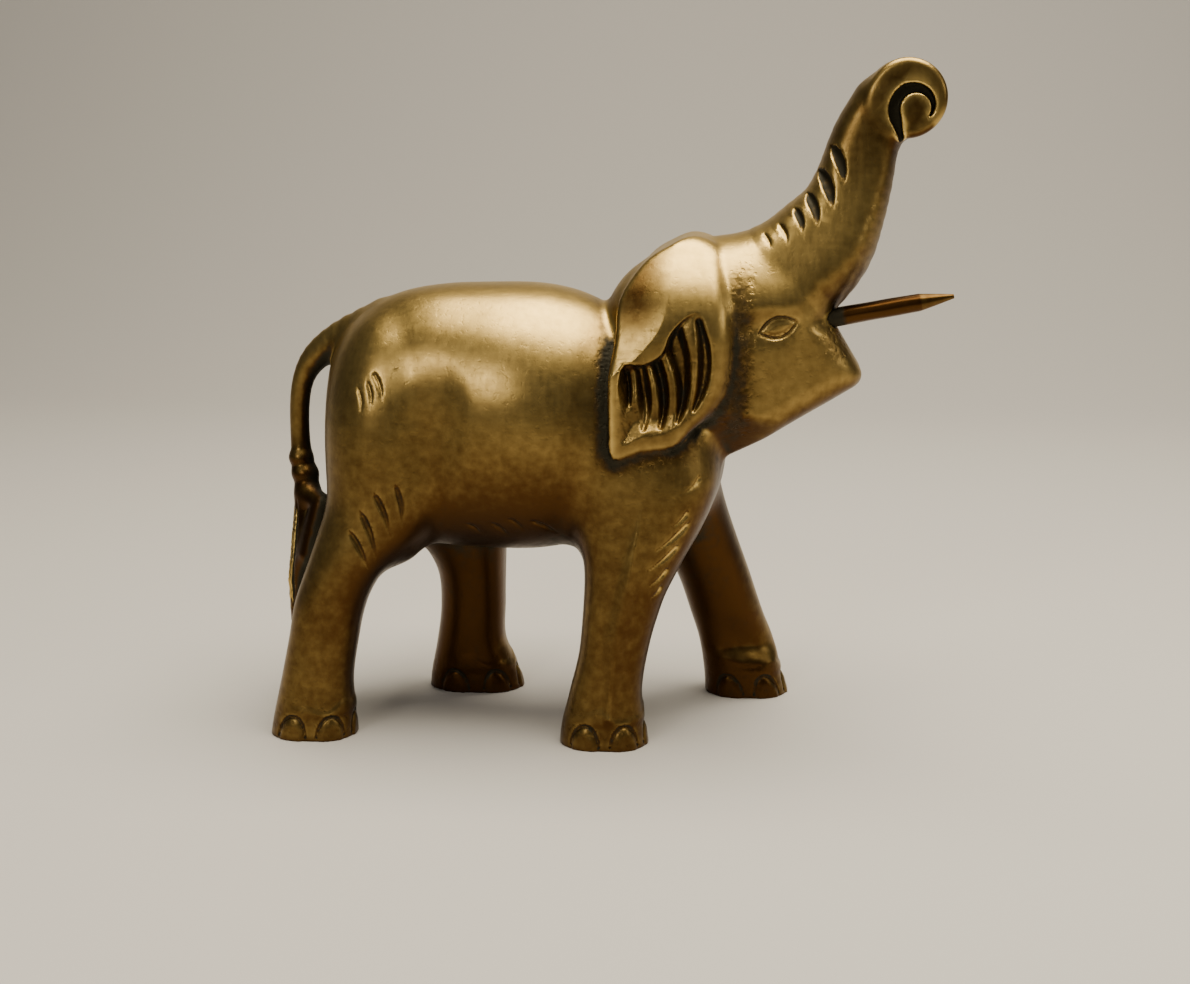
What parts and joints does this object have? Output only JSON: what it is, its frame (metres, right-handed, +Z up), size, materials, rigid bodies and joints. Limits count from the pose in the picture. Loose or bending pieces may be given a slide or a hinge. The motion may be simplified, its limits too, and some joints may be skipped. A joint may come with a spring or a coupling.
{
  "type": "elephant figurine",
  "caption": "Cast brass elephant figurine, walking with its trunk raised and curled, fluted ears, chisel-cut creases, a knotted tail and filed rod tusks set in its mouth corners.",
  "frame": {"origin": "on the ground under the middle of the whole figurine's bounding box", "axes": "+X forwards, the way the head points; +Y to the elephant's left, away from the camera of the picture; +Z up from the soles"},
  "size_m": [0.1796, 0.0652, 0.1781],
  "materials": {
    "brass_casting": "satin worn cast brass with dark green-brown patina in the recesses",
    "brass_tusk": "filed and worn brass rod"
  },
  "bodies": {
    "root": {"elephant_casting": "brass_casting", "tusk_right": "brass_tusk", "tusk_left": "brass_tusk"}
  },
  "joints": []
}
